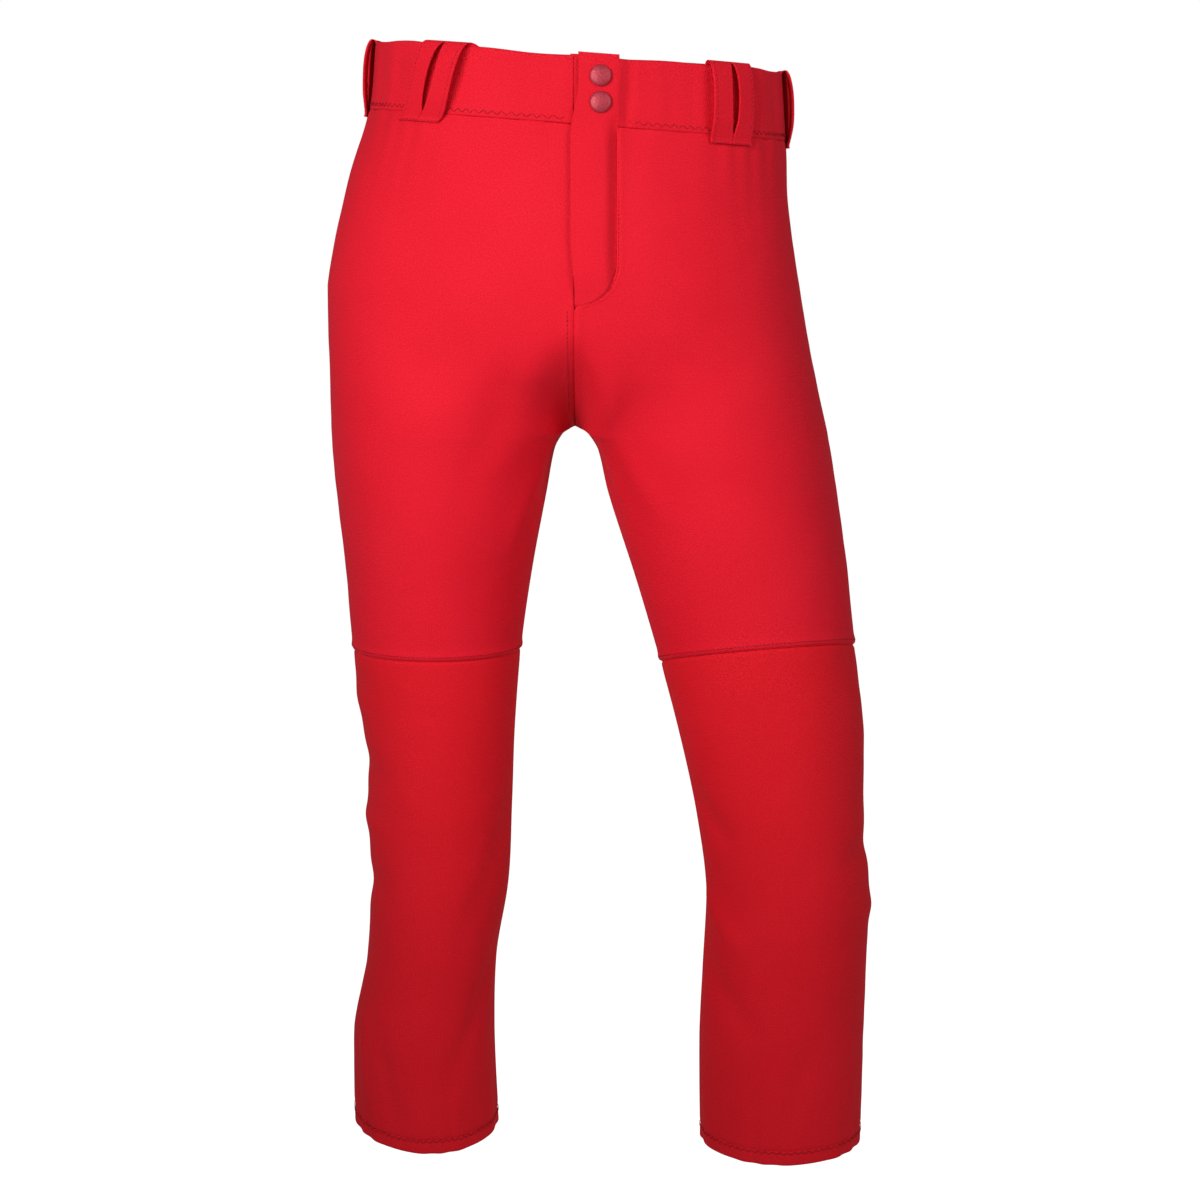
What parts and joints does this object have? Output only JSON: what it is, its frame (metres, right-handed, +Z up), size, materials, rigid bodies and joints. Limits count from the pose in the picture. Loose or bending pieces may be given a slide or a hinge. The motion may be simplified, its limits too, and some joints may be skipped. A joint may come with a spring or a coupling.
{
  "type": "softball pants",
  "caption": "Belted knicker-length sports pants, shown as worn, with a zip fly, press studs, wide belt loops and elastic hems below the knee.",
  "frame": {"origin": "centre of the waist opening, in the plane of the waistband top edge at the centre front and back", "axes": "+Z up, the wearer faces -Y, +X is the wearer's left"},
  "size_m": [0.3912, 0.2333, 0.8144],
  "materials": {
    "knit": "red double-knit polyester, matt with a fine rib",
    "knit_dark": "the same knit on the lower leg, where it is doubled and reads darker",
    "elastic": "undyed woven elastic",
    "pocketing": "undyed pocket cloth",
    "snap_enamel": "red baked enamel on a stamped brass cap",
    "stud_brass": "bright nickel-free brass",
    "zip_nylon": "dyed nylon coil and woven tape",
    "label": "blank white satin ribbon"
  },
  "bodies": {
    "pelvis": {"front_panel_right": "knit", "front_panel_left": "knit", "back_panel_right": "knit", "back_panel_left": "knit", "waistband_right": "knit", "waistband_left": "knit", "waist_elastic": "elastic", "belt_loop_front_right": "knit", "belt_loop_front_left": "knit", "belt_loop_side_right": "knit", "belt_loop_side_left": "knit", "belt_loop_back_right": "knit", "belt_loop_back_left": "knit", "belt_loop_centre_back": "knit", "fly_shield": "knit", "waist_underlap": "knit", "zip_tape_right": "zip_nylon", "zip_coil_right": "zip_nylon", "zip_top_stop_right": "stud_brass", "zip_bottom_stop": "stud_brass", "snap_stud_upper": "stud_brass", "snap_stud_lower": "stud_brass", "snap_rivet_upper": "stud_brass", "snap_rivet_lower": "stud_brass", "pocket_welt_right": "knit", "pocket_welt_left": "knit", "pocket_bag_right": "pocketing", "pocket_bag_left": "pocketing", "care_label": "label"},
    "fly": {"fly_flap": "knit", "fly_facing": "knit", "waist_tab": "knit", "snap_cap_upper": "snap_enamel", "snap_cap_lower": "snap_enamel", "snap_socket_upper": "stud_brass", "snap_socket_lower": "stud_brass", "zip_tape_left": "zip_nylon", "zip_coil_left": "zip_nylon", "zip_top_stop_left": "stud_brass"},
    "zip_slider": {"zip_slider": "stud_brass"},
    "zip_pull": {"zip_pull": "stud_brass"},
    "thigh_right": {"knee_panel_right": "knit_dark", "calf_panel_right": "knit_dark", "knee_ply_right": "knit_dark", "knee_seam_tape_right": "knit"},
    "shin_right": {"hem_band_right": "knit", "hem_elastic_right": "elastic"},
    "thigh_left": {"knee_panel_left": "knit_dark", "calf_panel_left": "knit_dark", "knee_ply_left": "knit_dark", "knee_seam_tape_left": "knit"},
    "shin_left": {"hem_band_left": "knit", "hem_elastic_left": "elastic"}
  },
  "joints": [
    {"name": "fly_open", "type": "hinge", "parent": "pelvis", "child": "fly", "pos_m": [0.02987, -0.09896, -0.07174], "axis": [0, 0.0702, 0.9975], "range_deg": [0, 70], "deforming": ["fly_flap", "zip_tape_left", "zip_coil_left"]},
    {"name": "zip_travel", "type": "slide", "parent": "pelvis", "child": "zip_slider", "axis": [0, -0.0628, -0.998], "range_m": [0, 0.0945]},
    {"name": "pull_swing", "type": "hinge", "parent": "zip_slider", "child": "zip_pull", "pos_m": [0.0095, -0.09963, -0.05819], "axis": [-1, 0, 0], "range_deg": [0, 80]},
    {"name": "hip_flex_right", "type": "hinge", "parent": "pelvis", "child": "thigh_right", "pos_m": [-0.088, 0.004, -0.2], "axis": [-1, 0, 0], "range_deg": [-10, 35], "deforming": ["front_panel_right", "back_panel_right"]},
    {"name": "knee_flex_right", "type": "hinge", "parent": "thigh_right", "child": "shin_right", "pos_m": [-0.099, -0.005, -0.56], "axis": [1, 0, 0], "range_deg": [0, 60], "deforming": ["knee_panel_right", "calf_panel_right", "knee_ply_right"]},
    {"name": "hip_flex_left", "type": "hinge", "parent": "pelvis", "child": "thigh_left", "pos_m": [0.094, 0, -0.205], "axis": [-1, 0, 0], "range_deg": [-20, 25], "deforming": ["front_panel_left", "back_panel_left"]},
    {"name": "knee_flex_left", "type": "hinge", "parent": "thigh_left", "child": "shin_left", "pos_m": [0.154, -0.034, -0.565], "axis": [1, 0, 0], "range_deg": [-15, 40], "deforming": ["knee_panel_left", "calf_panel_left", "knee_ply_left"]}
  ],
  "couplings": [
    {"joint": "zip_travel", "follows": "fly_open", "m_per_rad": 0.075},
    {"joint": "pull_swing", "follows": "fly_open", "ratio": 0.9}
  ]
}
